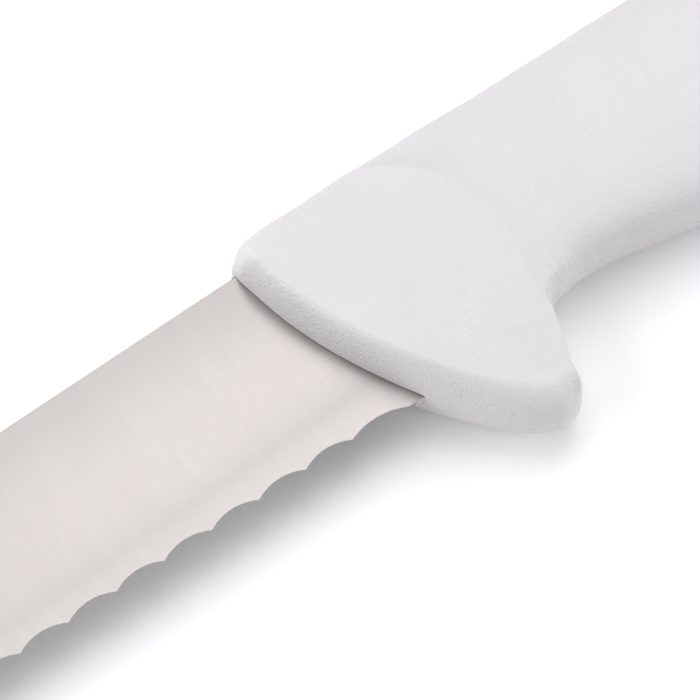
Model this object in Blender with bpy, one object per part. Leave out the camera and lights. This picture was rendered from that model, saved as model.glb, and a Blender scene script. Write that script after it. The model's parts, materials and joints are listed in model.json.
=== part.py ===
"""Bread knife with a stamped scalloped blade and a moulded handle.

The knife lies flat on its lower cheek.  +X runs from the blade towards the butt, +Y from the
cutting edge towards the spine, and +Z out of the blade's flat side.  The design is drawn in
millimetres from the heel of the blade, and each object is then placed so that the middle of
the lower cheek is the origin.

blade   one stainless blank: serrated blade, ricasso and hidden tang with three locking holes
handle  one polypropylene moulding: cheeks, finger guard and grip, moulded round the tang
"""
import math

import bmesh
import bpy
import numpy as np

MM = 0.001

# ---- driving dimensions, millimetres ---------------------------------------------------------
PITCH = 7.7                  # one scallop of the cutting edge
SCALLOP_DEPTH = 1.03         # from the line of the points to the top of an arch
EDGE_Y = -11.2               # line of the scallop points
FIRST_POINT_X = -7.4         # scallop point nearest the heel
HEEL_X = 1.7                 # the wider last scallop ends here
HEEL_Y = -11.55              # plain edge between the last scallop and the handle
SCALLOPS = 24                # full scallops from FIRST_POINT_X towards the tip
TIP_X = -200.0
TIP_Y = -9.4
SPINE_Y = 18.4               # height of the spine's line at the heel datum
SPINE_SLOPE = 0.0257         # the blade narrows towards its tip
SPINE_DROP = 48.0            # length over which the spine curves down to the tip
BLADE_THICK = 1.6            # ground blade, at its spine
BLADE_WEDGE = 0.8            # what the grinding takes off the lower side by the cutting edge
TANG_THICK = 1.8             # unground stock
BEVEL_WIDTH = 2.8            # hollow bevel of the scallops, on the lower side only
EDGE_LAND = 0.1              # thickness left at the cutting edge
ARCH_STEPS = 8               # straight facets along one arch
TOE_STEPS = 4                # and along the curve from the last arch up to the tip
NOSE_STEPS = 14              # and from the tip back to the spine

CHEEK = 8.0                  # half thickness of the handle at its flat cheeks
WALL_INSET = 2.4             # how far the front wall curves back before it meets the cheek
GUARD_INSET = 4.2            # the same at the tip of the guard
NOTCH_INSET = 0.7            # the same along the finger notch and the belly of the grip
TOP_ROUND = 4.5              # width of the rounding along the top of the cheek
BUTT_ROUND = 7.0             # width of the rounding round the butt
GUARD_TAPER = 1.7            # how much the cheek loses towards the tip of the guard
GUARD_TAPER_Y = (-5.0, -24.0)    # over which the taper and the wider inset come in
GRIP_POWER = 2.8             # superellipse power of the grip's section above its middle
BELLY_POWER = 3.8            # and below it, where the grip is squarer
RIDGE_APEX = (27.1, 3.0)     # rearmost point of the ridge between cheek and grip
RIDGE_LOW_SLOPE = 0.24
RIDGE_HIGH_BEND = 0.042
RIDGE_ROUND = 2.0            # softness of the bend at the apex
COVE_LENGTH = 8.5            # hollow that leads from the ridge into the grip
NOTCH_TOP = -11.0            # below this height the ridge bends back to meet the finger notch
NOTCH_BEND = 0.375

GAP = 0.3                    # clearance that the shrinking plastic leaves round the tang
REST_POINT = (10.0, 4.0)     # middle of the lower cheek, the origin of the finished part

# Stations of the handle: a point on its top outline and the matching point on its lower outline.
STATIONS = (
    ((-6.1, 19.8), (20.5, -25.3)),      # spine corner and tip of the guard
    ((-4.4, 20.9), (22.1, -23.7)),
    ((-1.5, 21.4), (22.6, -20.9)),
    ((5.0, 21.5), (24.1, -16.6)),
    ((13.0, 21.8), (25.2, -12.8)),
    ((20.0, 22.1), (25.7, -10.9)),
    ((25.0, 22.0), (27.0, -9.5)),       # finger notch
    ((29.5, 21.9), (30.0, -8.7)),
    ((34.5, 21.7), (34.2, -8.2)),
    ((40.0, 21.7), (39.5, -8.5)),
    ((47.0, 21.7), (46.0, -9.7)),
    ((56.0, 21.8), (54.5, -11.2)),
    ((67.0, 21.7), (65.0, -12.2)),      # palm swell
    ((79.0, 21.3), (77.0, -11.7)),
    ((92.0, 20.4), (90.0, -10.1)),
    ((103.0, 18.9), (101.5, -9.6)),     # waist for the little finger
    ((112.0, 16.9), (110.0, -11.3)),
    ((119.5, 14.6), (117.0, -14.2)),
    ((125.0, 11.8), (122.5, -16.2)),    # butt
)
FRONT_WALL = ((-6.1, 19.8), (-6.5, 18.2), (-6.0, 14.7), (-4.8, 8.9), (-2.8, 2.7), (-0.1, -3.5),
              (3.3, -9.9), (7.0, -15.9), (11.1, -21.0), (14.9, -24.2), (18.0, -25.5), (20.5, -25.3))
BUTT_WALL = ((125.0, 11.8), (127.6, 8.6), (128.8, 3.0), (129.2, -3.0), (128.8, -9.0), (127.4, -13.6),
             (125.2, -16.0), (122.5, -16.2))
GRIP_THICKNESS = ((-10.0, 7.3), (27.0, 7.4), (45.0, 7.8), (65.0, 8.0), (90.0, 7.8), (110.0, 7.9),
                  (130.0, 7.6))         # half thickness of the grip along X

FRONT_REACH = 8              # stations over which the front wall's curve fades out
BUTT_REACH = 4
COLUMNS = 26                 # faces across each side of the handle
FRONT_ROWS = 9               # rows of points over the first station, crowded at the wall
BUTT_ROWS = 7                # and over the last one, crowded at the butt
FINE_STEP = 0.5              # stations between rows, as far back as FINE_END
FINE_END = 10
SIDE_SAMPLES = 240           # points that stand in for each smooth outline of the handle
WALL_SAMPLES = 160
BUTT_SAMPLES = 60
TANG_SAMPLES = 300

TANG_HOLES = ((38.0, 5.0), (63.0, 5.0), (88.0, 5.0))
TANG_HOLE_RADIUS = 3.5
ROOT_X = (1.5, 5.5)          # how far the ground blade runs in under the spine and at the heel
TANG_LEAD = 0.5              # unground stock showing ahead of the handle's front wall
TANG_END = (107.0, 5.0)      # centre of the rounded end of the tang
TANG_END_RADIUS = 9.0
TANG_END_STEPS = 8
TANG_FRONT_POINTS = 14
DISC_STEPS = 24
SPINE_SHOULDER = ((7.0, 17.8), (14.0, 16.6), (24.0, 16.0))     # from the spine down to the tang
HEEL_SHOULDER = ((24.0, -4.8), (14.0, -5.6), (9.5, -8.2))      # from the tang down to the heel
HEEL_END_X = 6.5             # the blank's full width ends here, inside the handle
SPINE_END_X = 2.0

STEEL = ("stainless_steel", (0.62, 0.60, 0.59), 0.32, 1.0)
PLASTIC = ("white_polypropylene", (0.80, 0.79, 0.80), 0.48, 0.0)


# ---- small tools -------------------------------------------------------------------------------
def clear_scene():
    """Remove what a new file starts with."""
    for thing in list(bpy.data.objects):
        bpy.data.objects.remove(thing, do_unlink=True)


def spline(knots, places):
    """Points of a smooth curve through the knots, at places counted in knots."""
    knots = np.array(knots, float)
    steps = np.linalg.norm(np.diff(knots, axis=0), axis=1)
    slopes = np.diff(knots, axis=0) / steps[:, None]
    tangents = np.empty_like(knots)
    tangents[0] = slopes[0]
    tangents[-1] = slopes[-1]
    before = steps[:-1, None]
    after = steps[1:, None]
    tangents[1:-1] = (slopes[:-1] * after + slopes[1:] * before) / (before + after)
    places = np.asarray(places, float)
    index = np.clip(places.astype(int), 0, len(knots) - 2)
    t = (places - index)[:, None]
    length = steps[index][:, None]
    return ((2 * t**3 - 3 * t**2 + 1) * knots[index] + (t**3 - 2 * t**2 + t) * length * tangents[index]
            + (3 * t**2 - 2 * t**3) * knots[index + 1] + (t**3 - t**2) * length * tangents[index + 1])


def smoothstep(low, high, value):
    t = np.clip((value - low) / (high - low), 0, 1)
    return t * t * (3 - 2 * t)


def distance_to(path, x, y):
    """Shortest distance from each point to a polyline."""
    best = np.full(x.shape, np.inf)
    for (ax, ay), (bx, by) in zip(path[:-1], path[1:]):
        dx, dy = bx - ax, by - ay
        t = np.clip(((x - ax) * dx + (y - ay) * dy) / (dx * dx + dy * dy), 0, 1)
        best = np.minimum(best, np.hypot(x - ax - t * dx, y - ay - t * dy))
    return best


def round_edge(distance, width):
    """Quarter of an ellipse: 0 at the outline, 1 from the given width inwards."""
    t = np.clip(distance / width, 0, 1)
    return np.sqrt(1 - (1 - t)**2)


def grow(outline, gap):
    """The outline, counter-clockwise, moved outwards by the gap."""
    points = np.array(outline)
    ahead = np.roll(points, -1, axis=0) - points
    ahead /= np.linalg.norm(ahead, axis=1)[:, None]
    behind = np.roll(ahead, 1, axis=0)
    normal = np.stack([ahead[:, 1] + behind[:, 1], -ahead[:, 0] - behind[:, 0]], axis=1)
    normal /= np.linalg.norm(normal, axis=1)[:, None]
    spread = normal[:, 0] * ahead[:, 1] - normal[:, 1] * ahead[:, 0]
    return points + normal * (gap / spread)[:, None]


def material(name, colour, roughness, metallic):
    made = bpy.data.materials.new(name)
    made.use_nodes = True
    shader = made.node_tree.nodes["Principled BSDF"]
    shader.inputs["Base Color"].default_value = (*colour, 1.0)
    shader.inputs["Roughness"].default_value = roughness
    shader.inputs["Metallic"].default_value = metallic
    return made


def place(name, mesh, finish=None):
    """An object whose mesh is drawn from the heel, set down on the lower cheek."""
    thing = bpy.data.objects.new(name, mesh)
    thing.location = (-REST_POINT[0] * MM, -REST_POINT[1] * MM, CHEEK * MM)
    bpy.context.scene.collection.objects.link(thing)
    if finish:
        mesh.materials.append(material(*finish))
    else:
        thing.hide_render = True
        thing.display_type = "WIRE"
    return thing


def mesh_from(name, points, faces):
    """A closed mesh in metres from points in millimetres, with its faces turned outwards."""
    work = bmesh.new()
    corners = [work.verts.new([c * MM for c in point]) for point in points]
    for face in faces:
        work.faces.new([corners[i] for i in face])
    bmesh.ops.recalc_face_normals(work, faces=work.faces)
    mesh = bpy.data.meshes.new(name)
    work.to_mesh(mesh)
    work.free()
    return mesh


def level(outline, z):
    return [(x, y, z) for x, y in outline]


def layered(name, layers):
    """A plate between closed outlines of as many points each, listed from the top down."""
    count = len(layers[0])
    points = [point for layer in layers for point in layer]
    faces = [range(count), range(len(points) - count, len(points))]
    for layer in range(len(layers) - 1):
        for i in range(count):
            here, after = layer * count + i, layer * count + (i + 1) % count
            faces.append((here, after, after + count, here + count))
    return mesh_from(name, points, faces)


def boolean(target, cutter, operation):
    step = target.modifiers.new(operation.lower(), "BOOLEAN")
    step.operation = operation
    step.solver = "EXACT"
    step.object = cutter


# ---- blade and tang ----------------------------------------------------------------------------
def spine_y(x):
    return SPINE_Y + SPINE_SLOPE * x


def arch(start_x, end_x, start_y, end_y):
    """Facets of one scallop, from its right point to its left one, without the left point."""
    half = (start_x - end_x) / 2
    radius = (half**2 + SCALLOP_DEPTH**2) / (2 * SCALLOP_DEPTH)
    points = []
    for step in range(ARCH_STEPS):
        t = step / ARCH_STEPS
        x = start_x + (end_x - start_x) * t
        chord_y = start_y + (end_y - start_y) * t
        rise = math.sqrt(radius**2 - (half * (1 - 2 * t))**2) - (radius - SCALLOP_DEPTH)
        points.append((x, chord_y + rise))
    return points


def cutting_edge():
    """The scalloped lower outline, from the heel to where the curve of the tip begins."""
    edge = arch(HEEL_X, FIRST_POINT_X, HEEL_Y, EDGE_Y)
    for number in range(SCALLOPS):
        start = FIRST_POINT_X - number * PITCH
        edge += arch(start, start - PITCH, EDGE_Y, EDGE_Y)
    last_x = FIRST_POINT_X - SCALLOPS * PITCH
    return edge + [(last_x, EDGE_Y)]


def tip_curve():
    """From the last scallop round the tip to the start of the spine's curve."""
    last_x = FIRST_POINT_X - SCALLOPS * PITCH
    toe = [(last_x + (TIP_X - last_x) * math.sin(a), TIP_Y + (EDGE_Y - TIP_Y) * math.cos(a))
           for a in np.linspace(0, math.pi / 2, TOE_STEPS + 1)[1:]]
    start_x = TIP_X + SPINE_DROP
    drop = spine_y(start_x) - TIP_Y
    nose = [(start_x - SPINE_DROP * math.cos(a), TIP_Y + drop * math.sin(a))
            for a in np.linspace(0, math.pi / 2, NOSE_STEPS + 1)[1:]]
    return toe + nose


def blade_outlines():
    """The outline of the flat side, and that of the lower side, where the bevels eat into it."""
    edge = cutting_edge()
    tip = tip_curve()
    root = [(ROOT_X[0], spine_y(ROOT_X[0])), (ROOT_X[1], HEEL_Y), (HEEL_X + 2 * EDGE_LAND, HEEL_Y)]
    flat_side = edge + tip + root
    toe_length = FIRST_POINT_X - SCALLOPS * PITCH - TIP_X
    lower_side = [(x, y + BEVEL_WIDTH) for x, y in edge]
    for x, y in tip:
        fade = max(0.0, (x - TIP_X) / toe_length) if y < 0 else 0.0
        lower_side.append((x, y + BEVEL_WIDTH * fade))
    return flat_side, lower_side + root


def front_curve(lead, low_y, high_y, count):
    """Part of the handle's front wall, moved ahead by the lead, from low_y up to high_y."""
    curve = spline(FRONT_WALL, np.linspace(0, len(FRONT_WALL) - 1, TANG_SAMPLES))
    heights = np.linspace(low_y, high_y, count)
    return [(np.interp(-y, -curve[:, 1], curve[:, 0]) - lead, y) for y in heights]


def tang_outline():
    """Unground stock, clockwise from the heel: ricasso, shoulders and the tang itself."""
    margin = EDGE_LAND / 2
    wall_x = FRONT_WALL[1][0]
    front = front_curve(TANG_LEAD, HEEL_Y + margin, spine_y(wall_x) - margin,
                        TANG_FRONT_POINTS)
    spine = [(SPINE_END_X, spine_y(SPINE_END_X) - margin), *SPINE_SHOULDER]
    end = [(TANG_END[0] + TANG_END_RADIUS * math.sin(a), TANG_END[1] + TANG_END_RADIUS * math.cos(a))
           for a in np.linspace(0, math.pi, TANG_END_STEPS + 1)]
    heel = [*HEEL_SHOULDER, (HEEL_END_X, HEEL_Y + margin)]
    return front + spine + end + heel


def disc(centre, radius, half, name):
    ring = [(centre[0] + radius * math.cos(a), centre[1] + radius * math.sin(a))
            for a in np.linspace(0, 2 * math.pi, DISC_STEPS, endpoint=False)]
    return place(name, layered(name, [level(ring, half), level(ring, -half)]))


def ground_side(outline):
    """The lower side of the blade, whose plane comes closer to the flat side at the edge."""
    slope = BLADE_WEDGE / (SPINE_Y - EDGE_Y)
    return [(x, y, (spine_y(x) - y) * slope - BLADE_THICK / 2) for x, y in outline]


def build_blade():
    flat_side, lower_side = blade_outlines()
    half = BLADE_THICK / 2
    mesh = layered("blade", [level(flat_side, half), level(flat_side, half - EDGE_LAND),
                             ground_side(lower_side)])
    blade = place("blade", mesh, STEEL)
    outline = tang_outline()
    stock = TANG_THICK / 2
    tang = place("tang_stock", layered("tang_stock", [level(outline, stock), level(outline, -stock)]))
    for number, centre in enumerate(TANG_HOLES):
        boolean(tang, disc(centre, TANG_HOLE_RADIUS, CHEEK, f"tang_hole_{number}"), "DIFFERENCE")
    boolean(blade, tang, "UNION")


# ---- handle ------------------------------------------------------------------------------------
def handle_rows():
    """Places along the stations: close together at the front wall and at the butt."""
    last = len(STATIONS) - 1
    front = 1 - np.cos(np.linspace(0, math.pi / 2, FRONT_ROWS))
    fine = np.arange(1 + FINE_STEP, FINE_END, FINE_STEP)
    coarse = np.arange(FINE_END, last - 1, 1)
    butt = last - 1 + np.sin(np.linspace(0, math.pi / 2, BUTT_ROWS))
    return np.concatenate([front, fine, coarse, butt])


def handle_plan(rows, columns):
    """Plan position of each grid point of one side of the handle."""
    last = len(STATIONS) - 1
    top = spline([pair[0] for pair in STATIONS], rows)
    low = spline([pair[1] for pair in STATIONS], rows)
    across = (1 - np.cos(np.linspace(0, math.pi, columns + 1))) / 2
    front = spline(FRONT_WALL, across * (len(FRONT_WALL) - 1))
    butt = spline(BUTT_WALL, across * (len(BUTT_WALL) - 1))
    share = across[None, :, None]
    plan = top[:, None] * (1 - share) + low[:, None] * share
    front_line = top[0] * (1 - share[0]) + low[0] * share[0]
    butt_line = top[-1] * (1 - share[0]) + low[-1] * share[0]
    front_fade = np.clip(1 - rows / FRONT_REACH, 0, 1)**2
    butt_fade = np.clip(1 - (last - rows) / BUTT_REACH, 0, 1)**2
    plan += front_fade[:, None, None] * (front - front_line)
    plan += butt_fade[:, None, None] * (butt - butt_line)
    return plan[..., 0], plan[..., 1]


def outlines():
    """Top, lower, front and butt edges of the handle as fine polylines."""
    places = np.linspace(0, len(STATIONS) - 1, SIDE_SAMPLES)
    top = spline([pair[0] for pair in STATIONS], places)
    low = spline([pair[1] for pair in STATIONS], places)
    front = spline(FRONT_WALL, np.linspace(0, len(FRONT_WALL) - 1, WALL_SAMPLES))
    butt = spline(BUTT_WALL, np.linspace(0, len(BUTT_WALL) - 1, BUTT_SAMPLES))
    return top, low, front, butt


def cheek_height(x, y, top, low, front):
    """Flat pad with a rounded top and a steep wall all round its front and its guard."""
    start, end = GUARD_TAPER_Y
    height = CHEEK - GUARD_TAPER * smoothstep(-start, -end, -y)
    inset = WALL_INSET + (GUARD_INSET - WALL_INSET) * smoothstep(-start, -end, -y)
    height = height * round_edge(distance_to(front, x, y), inset)
    height = height * round_edge(distance_to(low, x, y), NOTCH_INSET)
    return height * round_edge(distance_to(top, x, y), TOP_ROUND)


def grip_height(x, y, top, low, butt):
    """Superelliptic section between the top and lower outlines, closed at the butt."""
    high_y = np.interp(x, top[:, 0], top[:, 1])
    low_y = np.interp(x, low[:, 0], low[:, 1])
    middle = (high_y + low_y) / 2
    offset = np.clip(np.abs(y - middle) / ((high_y - low_y) / 2), 0, 1)
    thickness = np.interp(x, *np.array(GRIP_THICKNESS).T)
    power = np.where(y < middle, BELLY_POWER, GRIP_POWER)
    height = thickness * (1 - offset**power)**(1 / power)
    return height * round_edge(distance_to(butt, x, y), BUTT_ROUND)


def ridge_x(y):
    """Where the flat cheek ends and the cove into the grip begins."""
    apex_x, apex_y = RIDGE_APEX
    below = apex_y - y
    return apex_x - RIDGE_LOW_SLOPE / 2 * (below + np.hypot(below, RIDGE_ROUND)) \
        - RIDGE_HIGH_BEND * np.maximum(-below, 0)**2 + NOTCH_BEND * np.maximum(NOTCH_TOP - y, 0)**2


def handle_height(x, y):
    top, low, front, butt = outlines()
    cheek = cheek_height(x, y, top, low, front)
    grip = grip_height(x, y, top, low, butt)
    stay = (1 - np.clip((x - ridge_x(y)) / COVE_LENGTH, 0, 1))**2
    return cheek * stay + grip * (1 - stay)


def handle_mesh():
    rows = handle_rows()
    x, y = handle_plan(rows, COLUMNS)
    z = handle_height(x, y)
    z[0] = z[-1] = 0
    z[:, 0] = z[:, -1] = 0
    row_count, column_count = x.shape
    points = []
    index = {}
    for i in range(row_count):
        for j in range(column_count):
            index[i, j, 1] = index[i, j, -1] = len(points)
            points.append((x[i, j], y[i, j], z[i, j]))
            if 0 < i < row_count - 1 and 0 < j < column_count - 1:
                index[i, j, -1] = len(points)
                points.append((x[i, j], y[i, j], -z[i, j]))
    faces = []
    for i in range(row_count - 1):
        for j in range(column_count - 1):
            for side in (1, -1):
                corners = ((i, j), (i + 1, j), (i + 1, j + 1), (i, j + 1))
                faces.append([index[a, b, side] for a, b in corners])
    return mesh_from("handle", points, faces)


def tang_cavity():
    """Room for the tang, with a plastic pillar left standing through each locking hole."""
    outline = grow(tang_outline()[::-1], GAP)
    half = TANG_THICK / 2 + GAP
    cavity = place("tang_cavity", layered("tang_cavity", [level(outline, half), level(outline, -half)]))
    for number, centre in enumerate(TANG_HOLES):
        pillar = disc(centre, TANG_HOLE_RADIUS - GAP, CHEEK, f"pillar_{number}")
        boolean(cavity, pillar, "DIFFERENCE")
    return cavity


def build_handle():
    handle = place("handle", handle_mesh(), PLASTIC)
    boolean(handle, tang_cavity(), "DIFFERENCE")
    handle.data.shade_smooth()


clear_scene()
build_blade()
build_handle()
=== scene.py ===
import json
import math

import bmesh
import bpy
import numpy as np
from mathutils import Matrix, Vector


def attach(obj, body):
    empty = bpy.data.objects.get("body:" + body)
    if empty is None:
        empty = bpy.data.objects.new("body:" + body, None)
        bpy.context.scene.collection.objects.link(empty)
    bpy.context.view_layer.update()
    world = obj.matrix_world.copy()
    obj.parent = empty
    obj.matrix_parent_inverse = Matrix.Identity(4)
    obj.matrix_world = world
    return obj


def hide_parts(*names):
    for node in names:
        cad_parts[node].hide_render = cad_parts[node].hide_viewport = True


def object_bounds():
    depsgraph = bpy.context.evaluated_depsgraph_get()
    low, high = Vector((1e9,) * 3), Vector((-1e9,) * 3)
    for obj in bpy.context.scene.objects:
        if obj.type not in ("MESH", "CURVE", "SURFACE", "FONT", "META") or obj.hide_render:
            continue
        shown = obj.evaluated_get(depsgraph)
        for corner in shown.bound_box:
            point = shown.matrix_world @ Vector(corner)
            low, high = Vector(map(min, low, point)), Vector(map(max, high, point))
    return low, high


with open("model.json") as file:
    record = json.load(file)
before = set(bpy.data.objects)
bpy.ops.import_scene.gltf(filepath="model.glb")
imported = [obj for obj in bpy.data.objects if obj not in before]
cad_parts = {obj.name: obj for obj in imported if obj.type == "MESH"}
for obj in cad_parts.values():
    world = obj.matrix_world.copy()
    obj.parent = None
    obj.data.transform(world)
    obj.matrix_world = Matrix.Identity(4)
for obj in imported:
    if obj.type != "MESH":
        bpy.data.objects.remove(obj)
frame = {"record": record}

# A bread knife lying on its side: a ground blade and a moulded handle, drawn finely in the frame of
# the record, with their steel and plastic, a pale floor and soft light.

cad_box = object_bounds()
MM = 0.001

# ---- blade and tang, in millimetres from the heel of the blade ----------------------------------
PITCH = 7.7                  # one scallop of the cutting edge
SCALLOP_DEPTH = 1.03         # from the line of the points to the top of an arch
EDGE_Y = -11.2               # line of the scallop points
FIRST_POINT_X = -7.4         # scallop point nearest the heel
HEEL_X = 1.7                 # the wider last scallop ends here
HEEL_Y = -11.55              # plain edge between the last scallop and the handle
HEEL_STEP = 0.1              # from the last scallop to the plain edge
SCALLOPS = 24                # full scallops from FIRST_POINT_X towards the tip
TIP_X = -200.0
TIP_Y = -9.4
SPINE_Y = 18.4               # height of the spine's line at the heel datum
SPINE_SLOPE = 0.0257         # the blade narrows towards its tip
SPINE_DROP = 48.0            # length over which the spine curves down to the tip
BLADE_THICK = 1.6            # at the spine
BLADE_WEDGE = 0.8            # what the grinding takes off the lower side by the cutting edge
BEVEL_WIDTH = 2.8            # bevel of the scallops, on the lower side only
EDGE_LAND = 0.04             # thickness left at the cutting edge
SPINE_CHAMFER = 0.12
TANG_HOLES = ((38.0, 5.0), (63.0, 5.0), (88.0, 5.0))
TANG_HOLE_RADIUS = 3.5
TANG_END = (107.0, 5.0)      # centre of the rounded end of the tang
TANG_END_RADIUS = 9.0
SPINE_SHOULDER = ((2.0, 18.45), (7.0, 17.8), (14.0, 16.6), (24.0, 16.0))   # from the spine to the tang
HEEL_SHOULDER = ((24.0, -4.8), (14.0, -5.6), (9.5, -8.2))                  # from the tang to the heel
HEEL_END_X = 6.5             # the blank's full width ends here, inside the handle

# Straight steps that stand in for each curve of the blade.
ARCH_STEPS = 20
TOE_STEPS = 12
NOSE_STEPS = 48
TANG_END_STEPS = 16
DISC_STEPS = 48
BLADE_SHARP = 25             # edges of the blade stay sharp above this angle, in degrees

# ---- handle ---------------------------------------------------------------------------------------
CHEEK = 8.0                  # half thickness of the handle at its flat cheeks
WALL_INSET = 2.4             # how far the front wall curves back before it meets the cheek
GUARD_INSET = 4.2            # the same at the tip of the guard
NOTCH_INSET = 0.7            # the same along the finger notch and the belly of the grip
TOP_ROUND = 4.5              # width of the rounding along the top of the cheek
BUTT_ROUND = 7.0             # width of the rounding round the butt
GUARD_TAPER = 1.7            # how much the cheek loses towards the tip of the guard
GUARD_TAPER_Y = (-5.0, -24.0)    # over which the taper and the wider inset come in
GRIP_POWER = 2.8             # superellipse power of the grip's section above its middle
BELLY_POWER = 3.8            # and below it, where the grip is squarer
RIDGE_APEX = (27.1, 3.0)     # rearmost point of the ridge between cheek and grip
RIDGE_LOW_SLOPE = 0.24
RIDGE_HIGH_BEND = 0.042
RIDGE_ROUND = 2.0            # softness of the bend at the apex
COVE_LENGTH = 8.5            # hollow that leads from the ridge into the grip
NOTCH_TOP = -11.0            # below this height the ridge bends back to meet the finger notch
NOTCH_BEND = 0.375

# Stations of the handle: a point on its top outline and the matching point on its lower outline.
STATIONS = (
    ((-6.1, 19.8), (20.5, -25.3)),      # spine corner and tip of the guard
    ((-4.4, 20.9), (22.1, -23.7)),
    ((-1.5, 21.4), (22.6, -20.9)),
    ((5.0, 21.5), (24.1, -16.6)),
    ((13.0, 21.8), (25.2, -12.8)),
    ((20.0, 22.1), (25.7, -10.9)),
    ((25.0, 22.0), (27.0, -9.5)),       # finger notch
    ((29.5, 21.9), (30.0, -8.7)),
    ((34.5, 21.7), (34.2, -8.2)),
    ((40.0, 21.7), (39.5, -8.5)),
    ((47.0, 21.7), (46.0, -9.7)),
    ((56.0, 21.8), (54.5, -11.2)),
    ((67.0, 21.7), (65.0, -12.2)),      # palm swell
    ((79.0, 21.3), (77.0, -11.7)),
    ((92.0, 20.4), (90.0, -10.1)),
    ((103.0, 18.9), (101.5, -9.6)),     # waist for the little finger
    ((112.0, 16.9), (110.0, -11.3)),
    ((119.5, 14.6), (117.0, -14.2)),
    ((125.0, 11.8), (122.5, -16.2)),    # butt
)
LAST_STATION = len(STATIONS) - 1
FRONT_WALL = ((-6.1, 19.8), (-6.5, 18.2), (-6.0, 14.7), (-4.8, 8.9), (-2.8, 2.7), (-0.1, -3.5),
              (3.3, -9.9), (7.0, -15.9), (11.1, -21.0), (14.9, -24.2), (18.0, -25.5), (20.5, -25.3))
BUTT_WALL = ((125.0, 11.8), (127.6, 8.6), (128.8, 3.0), (129.2, -3.0), (128.8, -9.0), (127.4, -13.6),
             (125.2, -16.0), (122.5, -16.2))
GRIP_THICKNESS = ((-10.0, 7.3), (27.0, 7.4), (45.0, 7.8), (65.0, 8.0), (90.0, 7.8), (110.0, 7.9),
                  (130.0, 7.6))         # half thickness of the grip along X
FRONT_REACH = 8              # stations over which the front wall's curve fades out
BUTT_REACH = 4

# The joint between steel and plastic, and the marks of the mould.
SLOT_GAP = 0.09              # dark line between the steel and the plastic
SLOT_LEAD = 1.6              # how far the slot is cut ahead of the front wall, through the heel's lip
SLOT_TOP_X = -7.0            # the slot reaches up to the spine's height here
SLOT_STEPS = 40
WITNESS_FROM_FRONT = 1.75    # witness line of the mould, which runs along the front wall
WITNESS_WIDTH = 0.11
WITNESS_DEPTH = 0.03
HEEL_LIP = ((2.95, HEEL_Y), (6.5, HEEL_Y), (6.5, -8.0), (4.4, -8.0))
SPINE_LIP = ((-5.5, 20.1), (-6.2, 19.6), (-7.15, 18.3), (-5.5, 18.3))

# The grid of points on each side of the handle.
COLUMNS = 150                # faces from the top outline to the lower one
WALL_STATIONS = 2.0          # stations over which the front wall turns into the cheek
WALL_ROWS = 44               # rows of points there, crowded towards the wall
WALL_CROWDING = 1.6
ROW_STEP = 0.085             # stations between the rows behind them
BUTT_ROWS = 24               # rows over the last station, crowded towards the butt
SIDE_SAMPLES = 400           # points that stand in for the top and lower outlines
FRONT_SAMPLES = 240
BUTT_SAMPLES = 90
HANDLE_SHARP = 50            # edges of the handle stay sharp above this angle

# ---- view and light: metres, degrees and watts ----------------------------------------------------
VIEW_AZIMUTH = -35.1         # 0 looks along +Y
VIEW_ELEVATION = 65.0
VIEW_DISTANCE = 0.5752
LENS = 215.9                 # millimetres
CLIP_START = 0.01
FLOOR_SIZE = 6
FLOOR_DROP = 0.0002          # gap below the knife
WORLD_TINT = (0.97, 0.985, 1.03)
WORLD_STRENGTH = 0.447
SOFTBOXES = (                # name, azimuth, elevation, distance, side, power
    ("key", 145, 65, 1.1, 0.9, 6.0),
    ("side", 58, 9, 1.2, 0.9, 9.0),
    ("fill", 246, 33, 1.2, 1.2, 10.4),
)


def rest_point():
    """Where the record says that the middle of the lower cheek is."""
    for mount in frame["record"]["mounts"]:
        if mount["name"] == "lower_cheek":
            return Vector(mount["pos_m"])


REST_IN_DESIGN = Vector((10.0, 4.0, -CHEEK))
heel_datum = rest_point() - REST_IN_DESIGN * MM


# ---- geometry tools -------------------------------------------------------------------------------
def spline(knots, places):
    """Points of a smooth curve through the knots, at places counted in knots."""
    knots = np.array(knots, float)
    steps = np.linalg.norm(np.diff(knots, axis=0), axis=1)
    slopes = np.diff(knots, axis=0) / steps[:, None]
    tangents = np.empty_like(knots)
    tangents[0] = slopes[0]
    tangents[-1] = slopes[-1]
    before = steps[:-1, None]
    after = steps[1:, None]
    tangents[1:-1] = (slopes[:-1] * after + slopes[1:] * before) / (before + after)
    places = np.asarray(places, float)
    index = np.clip(places.astype(int), 0, len(knots) - 2)
    t = (places - index)[:, None]
    length = steps[index][:, None]
    return ((2 * t**3 - 3 * t**2 + 1) * knots[index] + (t**3 - 2 * t**2 + t) * length * tangents[index]
            + (3 * t**2 - 2 * t**3) * knots[index + 1] + (t**3 - t**2) * length * tangents[index + 1])


def spline_samples(knots, count):
    """A smooth curve through the knots as a fine polyline."""
    return spline(knots, np.linspace(0, len(knots) - 1, count))


def smoothstep(low, high, value):
    t = np.clip((value - low) / (high - low), 0, 1)
    return t * t * (3 - 2 * t)


def distance_to(path, x, y):
    """Shortest distance from each point to a polyline."""
    best = np.full(x.shape, np.inf)
    for (ax, ay), (bx, by) in zip(path[:-1], path[1:]):
        dx, dy = bx - ax, by - ay
        t = np.clip(((x - ax) * dx + (y - ay) * dy) / (dx * dx + dy * dy), 0, 1)
        best = np.minimum(best, np.hypot(x - ax - t * dx, y - ay - t * dy))
    return best


def round_edge(distance, width):
    """Quarter of an ellipse: 0 at the outline, 1 from the given width inwards."""
    t = np.clip(distance / width, 0, 1)
    return np.sqrt(1 - (1 - t)**2)


def arc(centre, radius, start, end, steps):
    """Points on an arc, its angles measured clockwise from +Y."""
    return [(centre[0] + radius * math.sin(a), centre[1] + radius * math.cos(a))
            for a in np.linspace(start, end, steps + 1)]


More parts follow.
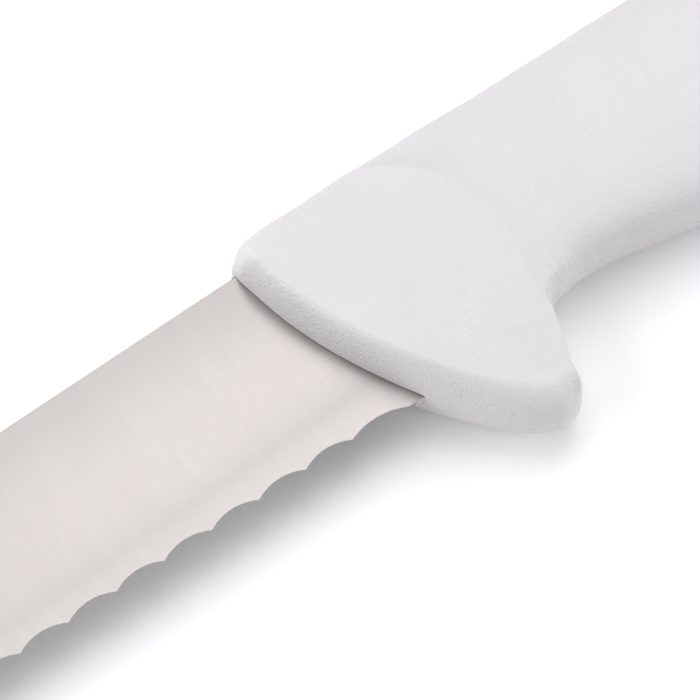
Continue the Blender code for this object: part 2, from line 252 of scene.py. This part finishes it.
def grow(outline, gap):
    """The outline, counter-clockwise, moved outwards by the gap, which may differ point by point."""
    points = np.array(outline)
    ahead = np.roll(points, -1, axis=0) - points
    ahead /= np.linalg.norm(ahead, axis=1)[:, None]
    behind = np.roll(ahead, 1, axis=0)
    normal = np.stack([ahead[:, 1] + behind[:, 1], -ahead[:, 0] - behind[:, 0]], axis=1)
    normal /= np.linalg.norm(normal, axis=1)[:, None]
    spread_out = normal[:, 0] * ahead[:, 1] - normal[:, 1] * ahead[:, 0]
    return points + normal * (gap / spread_out)[:, None]


def piece_from(name, points, faces):
    """An object in the frame, in metres, from points in millimetres from the heel."""
    work = bmesh.new()
    corners = [work.verts.new(heel_datum + Vector(point) * MM) for point in points]
    for face in faces:
        work.faces.new([corners[i] for i in face])
    bmesh.ops.recalc_face_normals(work, faces=work.faces)
    mesh = bpy.data.meshes.new(name)
    work.to_mesh(mesh)
    work.free()
    piece = bpy.data.objects.new(name, mesh)
    bpy.context.scene.collection.objects.link(piece)
    return piece


def level(outline, z):
    """The outline, lifted to a height."""
    return [(x, y, z) for x, y in outline]


def layered(name, layers):
    """A plate between closed outlines of as many points each, listed from the top down."""
    count = len(layers[0])
    points = [point for layer in layers for point in layer]
    faces = [range(count), range(len(points) - count, len(points))]
    for layer in range(len(layers) - 1):
        for i in range(count):
            here = layer * count + i
            after = layer * count + (i + 1) % count
            faces.append((here, after, after + count, here + count))
    return piece_from(name, points, faces)


def combine(target, other, operation):
    """Cuts the other object out of the target, or joins it to the target, and removes it."""
    step = target.modifiers.new("combine", "BOOLEAN")
    step.operation = operation
    step.solver = "EXACT"
    step.object = other
    graph = bpy.context.evaluated_depsgraph_get()
    mesh = bpy.data.meshes.new_from_object(target.evaluated_get(graph), depsgraph=graph)
    target.modifiers.clear()
    target.data = mesh
    bpy.data.objects.remove(other, do_unlink=True)


def smooth(piece, sharp_angle):
    """Smooth shading, except between faces that meet at more than the angle in degrees."""
    piece.data.shade_smooth()
    piece.data.set_sharp_from_angle(angle=math.radians(sharp_angle))


# ---- blade ----------------------------------------------------------------------------------------
def spine_y(x):
    return SPINE_Y + SPINE_SLOPE * x


def arch(start_x, end_x, start_y, end_y):
    """One scallop, from its right point to its left one, without the left point."""
    half = (start_x - end_x) / 2
    radius = (half**2 + SCALLOP_DEPTH**2) / (2 * SCALLOP_DEPTH)
    points = []
    for step in range(ARCH_STEPS):
        t = step / ARCH_STEPS
        rise = math.sqrt(radius**2 - (half * (1 - 2 * t))**2) - (radius - SCALLOP_DEPTH)
        points.append((start_x + (end_x - start_x) * t, start_y + (end_y - start_y) * t + rise))
    return points


def cutting_edge():
    """The scalloped lower outline, from the heel to where the curve of the tip begins."""
    edge = arch(HEEL_X, FIRST_POINT_X, HEEL_Y, EDGE_Y)
    for number in range(SCALLOPS):
        start = FIRST_POINT_X - number * PITCH
        edge += arch(start, start - PITCH, EDGE_Y, EDGE_Y)
    return edge + [(FIRST_POINT_X - SCALLOPS * PITCH, EDGE_Y)]


def tip_curve():
    """From the last scallop up to the tip, and from the tip back to the spine."""
    last_x = FIRST_POINT_X - SCALLOPS * PITCH
    toe = [(last_x + (TIP_X - last_x) * math.sin(a), TIP_Y + (EDGE_Y - TIP_Y) * math.cos(a))
           for a in np.linspace(0, math.pi / 2, TOE_STEPS + 1)[1:]]
    start_x = TIP_X + SPINE_DROP
    drop = spine_y(start_x) - TIP_Y
    nose = [(start_x - SPINE_DROP * math.cos(a), TIP_Y + drop * math.sin(a))
            for a in np.linspace(0, math.pi / 2, NOSE_STEPS + 1)[1:]]
    return toe, nose


def tang_outline():
    """From the spine, round the hidden tang and back towards the heel."""
    end = arc(TANG_END, TANG_END_RADIUS, 0, math.pi, TANG_END_STEPS)
    return [*SPINE_SHOULDER, *end, *HEEL_SHOULDER]


def ground_side(outline, height):
    """The lower side of the blade, whose plane comes closer to the flat side at the edge."""
    slope = BLADE_WEDGE / (SPINE_Y - EDGE_Y)
    return [(x, y, max(0.0, spine_y(x) - y) * slope + height) for x, y in outline]


def disc(centre, radius, half):
    """A round plate that reaches as far above the blade's middle plane as below it."""
    ring = [(centre[0] + radius * math.cos(a), centre[1] + radius * math.sin(a))
            for a in np.linspace(0, 2 * math.pi, DISC_STEPS, endpoint=False)]
    return layered("disc", [level(ring, half), level(ring, -half)])


def blade_outlines():
    """The flat side's outline and the same inside its chamfers, then both for the lower side."""
    edge = cutting_edge()
    toe, nose = tip_curve()
    back = nose + tang_outline()
    heel = [(HEEL_END_X, HEEL_Y), (HEEL_X + HEEL_STEP, HEEL_Y)]
    flat_side = edge + toe + back + heel
    chamfer = np.array([0.0] * len(edge + toe) + [-SPINE_CHAMFER] * len(back) + [0.0] * len(heel))
    # The outline runs clockwise, so it is turned round to be grown and turned back.
    inner = grow(flat_side[::-1], chamfer[::-1])[::-1]
    toe_length = FIRST_POINT_X - SCALLOPS * PITCH - TIP_X
    bevel = [(x, y + BEVEL_WIDTH) for x, y in edge]
    bevel += [(x, y + BEVEL_WIDTH * max(0.0, (x - TIP_X) / toe_length)) for x, y in toe]
    heel_bevel = [(x, y + BEVEL_WIDTH) for x, y in heel]
    inner_back = inner[len(bevel):len(bevel) + len(back)].tolist()
    return flat_side, inner, bevel + back + heel_bevel, bevel + inner_back + heel_bevel


def make_blade():
    """The whole blank, its flat side up, with the locking holes of its tang."""
    flat_side, inner, lower, lower_inner = blade_outlines()
    half = BLADE_THICK / 2
    blade = layered("blade_ground", [level(inner, half), level(flat_side, half - EDGE_LAND),
                                     ground_side(lower, SPINE_CHAMFER - half),
                                     ground_side(lower_inner, -half)])
    for centre in TANG_HOLES:
        combine(blade, disc(centre, TANG_HOLE_RADIUS, BLADE_THICK), "DIFFERENCE")
    smooth(blade, BLADE_SHARP)
    return blade


# ---- handle ---------------------------------------------------------------------------------------
def side_curves(places):
    """The top and the lower outline at places counted in stations."""
    top = spline([pair[0] for pair in STATIONS], places)
    low = spline([pair[1] for pair in STATIONS], places)
    return top, low


def outlines():
    """Top, lower, front and butt edges of the handle as fine polylines."""
    top, low = side_curves(np.linspace(0, LAST_STATION, SIDE_SAMPLES))
    return top, low, spline_samples(FRONT_WALL, FRONT_SAMPLES), spline_samples(BUTT_WALL, BUTT_SAMPLES)


def handle_rows():
    """Places of the grid's rows, counted in stations."""
    front = WALL_STATIONS * np.linspace(0, 1, WALL_ROWS)**WALL_CROWDING
    middle = np.arange(WALL_STATIONS + ROW_STEP, LAST_STATION - 1, ROW_STEP)
    butt = LAST_STATION - 1 + np.sin(np.linspace(0, math.pi / 2, BUTT_ROWS))
    return np.concatenate([front, middle, butt])


def handle_plan(rows):
    """Plan position of each grid point of one side of the handle."""
    top, low = side_curves(rows)
    across = (1 - np.cos(np.linspace(0, math.pi, COLUMNS + 1))) / 2
    front = spline(FRONT_WALL, across * (len(FRONT_WALL) - 1))
    butt = spline(BUTT_WALL, across * (len(BUTT_WALL) - 1))
    share = across[None, :, None]
    plan = top[:, None] * (1 - share) + low[:, None] * share
    front_line = top[0] * (1 - share[0]) + low[0] * share[0]
    butt_line = top[-1] * (1 - share[0]) + low[-1] * share[0]
    front_fade = np.clip(1 - rows / FRONT_REACH, 0, 1)**2
    butt_fade = np.clip(1 - (LAST_STATION - rows) / BUTT_REACH, 0, 1)**2
    plan += front_fade[:, None, None] * (front - front_line)
    plan += butt_fade[:, None, None] * (butt - butt_line)
    return plan[..., 0], plan[..., 1]


def cheek_height(x, y, top, low, front):
    """Flat pad with a rounded top, a steep wall round its front and its guard, and a witness line."""
    start, end = GUARD_TAPER_Y
    taper = smoothstep(-start, -end, -y)
    from_front = distance_to(front, x, y)
    height = CHEEK - GUARD_TAPER * taper
    height = height * round_edge(from_front, WALL_INSET + (GUARD_INSET - WALL_INSET) * taper)
    height = height * round_edge(distance_to(low, x, y), NOTCH_INSET)
    height = height * round_edge(distance_to(top, x, y), TOP_ROUND)
    return height - WITNESS_DEPTH * np.exp(-((from_front - WITNESS_FROM_FRONT) / WITNESS_WIDTH)**2)


def grip_height(x, y, top, low, butt):
    """Superelliptic section between the top and lower outlines, closed at the butt."""
    high_y = np.interp(x, top[:, 0], top[:, 1])
    low_y = np.interp(x, low[:, 0], low[:, 1])
    middle = (high_y + low_y) / 2
    offset = np.clip(np.abs(y - middle) / ((high_y - low_y) / 2), 0, 1)
    thickness = np.interp(x, *np.array(GRIP_THICKNESS).T)
    power = np.where(y < middle, BELLY_POWER, GRIP_POWER)
    height = thickness * (1 - offset**power)**(1 / power)
    return height * round_edge(distance_to(butt, x, y), BUTT_ROUND)


def ridge_x(y):
    """Where the flat cheek ends and the cove into the grip begins."""
    apex_x, apex_y = RIDGE_APEX
    below = apex_y - y
    slope = RIDGE_LOW_SLOPE / 2 * (below + np.hypot(below, RIDGE_ROUND))
    bend = RIDGE_HIGH_BEND * np.maximum(-below, 0)**2
    notch = NOTCH_BEND * np.maximum(NOTCH_TOP - y, 0)**2
    return apex_x - slope - bend + notch


def handle_height(x, y):
    """Height of the handle's side above the middle plane: the cheek, blended into the grip."""
    top, low, front, butt = outlines()
    cheek = cheek_height(x, y, top, low, front)
    grip = grip_height(x, y, top, low, butt)
    stay = (1 - np.clip((x - ridge_x(y)) / COVE_LENGTH, 0, 1))**2
    return cheek * stay + grip * (1 - stay)


def handle_shell():
    """The closed skin of the moulding: the grid of one side and its mirror image."""
    x, y = handle_plan(handle_rows())
    z = np.maximum(handle_height(x, y), 0)
    z[0] = z[-1] = 0
    z[:, 0] = z[:, -1] = 0
    row_count, column_count = x.shape
    points = []
    index = {}
    for i in range(row_count):
        for j in range(column_count):
            index[i, j, 1] = index[i, j, -1] = len(points)
            points.append((x[i, j], y[i, j], z[i, j]))
            if 0 < i < row_count - 1 and 0 < j < column_count - 1:
                index[i, j, -1] = len(points)
                points.append((x[i, j], y[i, j], -z[i, j]))
    faces = []
    for i in range(row_count - 1):
        for j in range(column_count - 1):
            for side in (1, -1):
                corners = ((i, j), (i + 1, j), (i + 1, j + 1), (i, j + 1))
                faces.append([index[a, b, side] for a, b in corners])
    return piece_from("handle_moulding", points, faces)


def lip(name, outline):
    """Plastic of the blade's thickness, which runs out a little way along the steel."""
    half = BLADE_THICK / 2
    return layered(name, [level(outline, half - EDGE_LAND), level(outline, -half)])


def tang_cavity():
    """Room for the steel, open through the front wall, with a pillar left in each locking hole."""
    front = spline_samples(FRONT_WALL, FRONT_SAMPLES)
    slot = [(np.interp(-h, -front[:, 1], front[:, 0]) - SLOT_LEAD, h)
            for h in np.linspace(HEEL_Y, spine_y(SLOT_TOP_X), SLOT_STEPS)]
    room = grow((slot + tang_outline() + [(HEEL_END_X, HEEL_Y)])[::-1], SLOT_GAP)
    under_bevel = [(x, max(y, HEEL_Y + BEVEL_WIDTH)) for x, y in room]
    half = BLADE_THICK / 2 + SLOT_GAP
    cavity = layered("tang_cavity", [level(room, half), level(room, half - EDGE_LAND - SLOT_GAP),
                                     level(under_bevel, -half)])
    for centre in TANG_HOLES:
        combine(cavity, disc(centre, TANG_HOLE_RADIUS - SLOT_GAP, BLADE_THICK * 2), "DIFFERENCE")
    return cavity


def make_handle():
    """The slot is cut through the heel's lip too, but the spine's lip is added after it."""
    handle = handle_shell()
    combine(handle, lip("heel_lip", HEEL_LIP), "UNION")
    combine(handle, tang_cavity(), "DIFFERENCE")
    combine(handle, lip("spine_lip", SPINE_LIP), "UNION")
    smooth(handle, HANDLE_SHARP)
    return handle


# ---- materials: a noise's scale is about how many spots it has to the metre -----------------------
def new_material(name):
    made = bpy.data.materials.new(name)
    made.use_nodes = True
    return made, made.node_tree, made.node_tree.nodes["Principled BSDF"]


def noise(tree, scale, detail, roughness=0.5, stretch=(1, 1, 1)):
    """Noise on the object, which may be finer along some axes than along others."""
    place = tree.nodes.new("ShaderNodeTexCoord")
    mapping = tree.nodes.new("ShaderNodeMapping")
    mapping.inputs["Scale"].default_value = stretch
    tree.links.new(place.outputs["Object"], mapping.inputs["Vector"])
    texture = tree.nodes.new("ShaderNodeTexNoise")
    texture.inputs["Scale"].default_value = scale
    texture.inputs["Detail"].default_value = detail
    texture.inputs["Roughness"].default_value = roughness
    tree.links.new(mapping.outputs["Vector"], texture.inputs["Vector"])
    return texture.outputs["Fac"]


def spread(tree, value, low, high, source=(0.3, 0.7)):
    """The value, from the source's range, mapped to low..high."""
    node = tree.nodes.new("ShaderNodeMapRange")
    node.inputs["From Min"].default_value = source[0]
    node.inputs["From Max"].default_value = source[1]
    node.inputs["To Min"].default_value = low
    node.inputs["To Max"].default_value = high
    tree.links.new(value, node.inputs["Value"])
    return node.outputs["Result"]


def tint(tree, value, dark, light):
    """A colour between two tints, over the middle of the value's range."""
    node = tree.nodes.new("ShaderNodeValToRGB")
    first, last = node.color_ramp.elements
    first.position = 0.3
    first.color = (*dark, 1)
    last.position = 0.7
    last.color = (*light, 1)
    tree.links.new(value, node.inputs["Fac"])
    return node.outputs["Color"]


def maths(tree, operation, *values):
    """One arithmetic step on one or two values."""
    node = tree.nodes.new("ShaderNodeMath")
    node.operation = operation
    for socket, value in zip(node.inputs, values):
        tree.links.new(value, socket)
    return node.outputs["Value"]


def bump(tree, height, distance, under=None):
    """A bumped normal, laid over the one under it."""
    node = tree.nodes.new("ShaderNodeBump")
    node.inputs["Strength"].default_value = 1.0
    node.inputs["Distance"].default_value = distance
    tree.links.new(height, node.inputs["Height"])
    if under:
        tree.links.new(under, node.inputs["Normal"])
    return node.outputs["Normal"]


def grain_depth(tree, flat, steep):
    """Depth of the grain, which differs between the flat cheeks and the steep walls."""
    geometry = tree.nodes.new("ShaderNodeNewGeometry")
    axes = tree.nodes.new("ShaderNodeSeparateXYZ")
    tree.links.new(geometry.outputs["True Normal"], axes.inputs["Vector"])
    flatness = maths(tree, "ABSOLUTE", axes.outputs["Z"])
    return spread(tree, flatness, low=steep, high=flat, source=(0.3, 0.95))


def plastic_material():
    """White polypropylene with the fine grain of a spark-eroded mould."""
    made, tree, shader = new_material("white_polypropylene")
    link = tree.links.new
    clouds = noise(tree, scale=90, detail=2)
    link(tint(tree, clouds, (0.635, 0.615, 0.622), (0.655, 0.635, 0.642)), shader.inputs["Base Color"])
    link(spread(tree, noise(tree, scale=1500, detail=2), 0.44, 0.56), shader.inputs["Roughness"])
    depth = grain_depth(tree, flat=1.0, steep=2.4)
    coarse_grain = maths(tree, "MULTIPLY", noise(tree, scale=1900, detail=2, roughness=0.6), depth)
    fine_grain = maths(tree, "MULTIPLY", noise(tree, scale=4300, detail=2), depth)
    coarse = bump(tree, coarse_grain, distance=0.00009)
    link(bump(tree, fine_grain, distance=0.00004, under=coarse), shader.inputs["Normal"])
    return made


def steel_material():
    """Stainless steel ground across the blade, so that its scratches run from spine to edge."""
    made, tree, shader = new_material("ground_steel")
    link = tree.links.new
    scratches = noise(tree, scale=1, detail=4, roughness=0.6, stretch=(5200, 110, 5200))
    patches = noise(tree, scale=70, detail=3, roughness=0.55, stretch=(1, 0.5, 1))
    link(tint(tree, patches, (0.379, 0.353, 0.343), (0.391, 0.365, 0.354)), shader.inputs["Base Color"])
    link(spread(tree, scratches, 0.34, 0.38), shader.inputs["Roughness"])
    link(bump(tree, scratches, distance=0.0000012), shader.inputs["Normal"])
    shader.inputs["Metallic"].default_value = 1.0
    shader.inputs["Anisotropic"].default_value = 0.7
    across = tree.nodes.new("ShaderNodeCombineXYZ")
    across.inputs["Y"].default_value = 1.0
    link(across.outputs["Vector"], shader.inputs["Tangent"])
    return made


def floor_material():
    """A pale matte sheet, lit a little from within so that it stays white round the knife."""
    made, tree, shader = new_material("pale_floor")
    clouds = noise(tree, scale=14, detail=3)
    tree.links.new(tint(tree, clouds, (0.912, 0.91, 0.91), (0.924, 0.922, 0.922)),
                   shader.inputs["Base Color"])
    shader.inputs["Roughness"].default_value = 0.9
    shader.inputs["Specular IOR Level"].default_value = 0.1
    shader.inputs["Emission Color"].default_value = (1, 1, 1, 1)
    shader.inputs["Emission Strength"].default_value = 0.055
    return made


# ---- stage ----------------------------------------------------------------------------------------
def look_at(thing, target):
    thing.rotation_euler = (target - thing.location).to_track_quat("-Z", "Y").to_euler()


def direction(azimuth, elevation):
    """Unit vector from the object towards a viewer at that azimuth and elevation."""
    a, e = math.radians(azimuth), math.radians(elevation)
    return Vector((math.sin(a) * math.cos(e), -math.cos(a) * math.cos(e), math.sin(e)))


def make_camera():
    """Aimed at the heel of the blade, on its flat side."""
    camera = bpy.data.objects.new("camera", bpy.data.cameras.new("camera"))
    bpy.context.scene.collection.objects.link(camera)
    aim = heel_datum + Vector((0, 0, BLADE_THICK / 2)) * MM
    camera.location = aim + direction(VIEW_AZIMUTH, VIEW_ELEVATION) * VIEW_DISTANCE
    camera.data.lens = LENS
    camera.data.clip_start = CLIP_START
    look_at(camera, aim)
    bpy.context.scene.camera = camera


def make_softbox(name, azimuth, elevation, distance, side, power):
    """A square light, turned towards the knife."""
    lamp = bpy.data.objects.new(name, bpy.data.lights.new(name, "AREA"))
    bpy.context.scene.collection.objects.link(lamp)
    lamp.data.shape = "SQUARE"
    lamp.data.size = side
    lamp.data.energy = power
    lamp.location = direction(azimuth, elevation) * distance
    look_at(lamp, Vector((0, 0, 0)))


def make_floor():
    """A wide sheet just below the knife."""
    bpy.ops.mesh.primitive_plane_add(size=FLOOR_SIZE, location=(0, 0, cad_box[0][2] - FLOOR_DROP))
    floor = bpy.context.object
    floor.name = "floor"
    floor.data.materials.append(floor_material())


def make_world():
    world = bpy.data.worlds.new("studio")
    bpy.context.scene.world = world
    world.use_nodes = True
    background = world.node_tree.nodes["Background"]
    background.inputs["Color"].default_value = (*WORLD_TINT, 1)
    background.inputs["Strength"].default_value = WORLD_STRENGTH


blade = make_blade()
blade.data.materials.append(steel_material())
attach(blade, "root")
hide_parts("blade")

handle = make_handle()
handle.data.materials.append(plastic_material())
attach(handle, "root")
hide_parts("handle")

make_camera()
make_floor()
make_world()
for softbox in SOFTBOXES:
    make_softbox(*softbox)
bpy.context.scene.view_settings.view_transform = "Standard"
